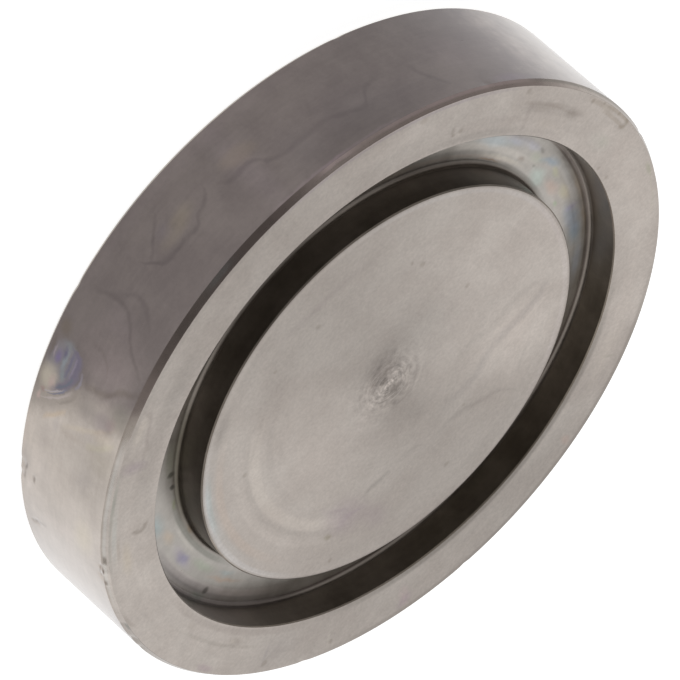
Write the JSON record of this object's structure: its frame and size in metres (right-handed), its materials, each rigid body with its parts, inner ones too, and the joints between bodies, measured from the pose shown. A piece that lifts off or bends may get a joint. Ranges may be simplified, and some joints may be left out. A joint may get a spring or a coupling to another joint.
{
  "type": "hydraulic blind flange",
  "caption": "Solid turned steel disc with a square seal groove in its flat front face, chamfered rim and plain back, held by flange clamp halves to close a hydraulic port.",
  "frame": {"origin": "centre of the flat back face, on the disc's axis", "axes": "+Z along the disc's axis, out of the grooved sealing face; X and Y lie in the back face and are interchangeable"},
  "size_m": [0.054, 0.054, 0.0103],
  "materials": {
    "turned_steel": "fine turned steel, bare, with oil film stains and small handling marks"
  },
  "bodies": {
    "root": {"blind_flange": "turned_steel"}
  },
  "joints": []
}
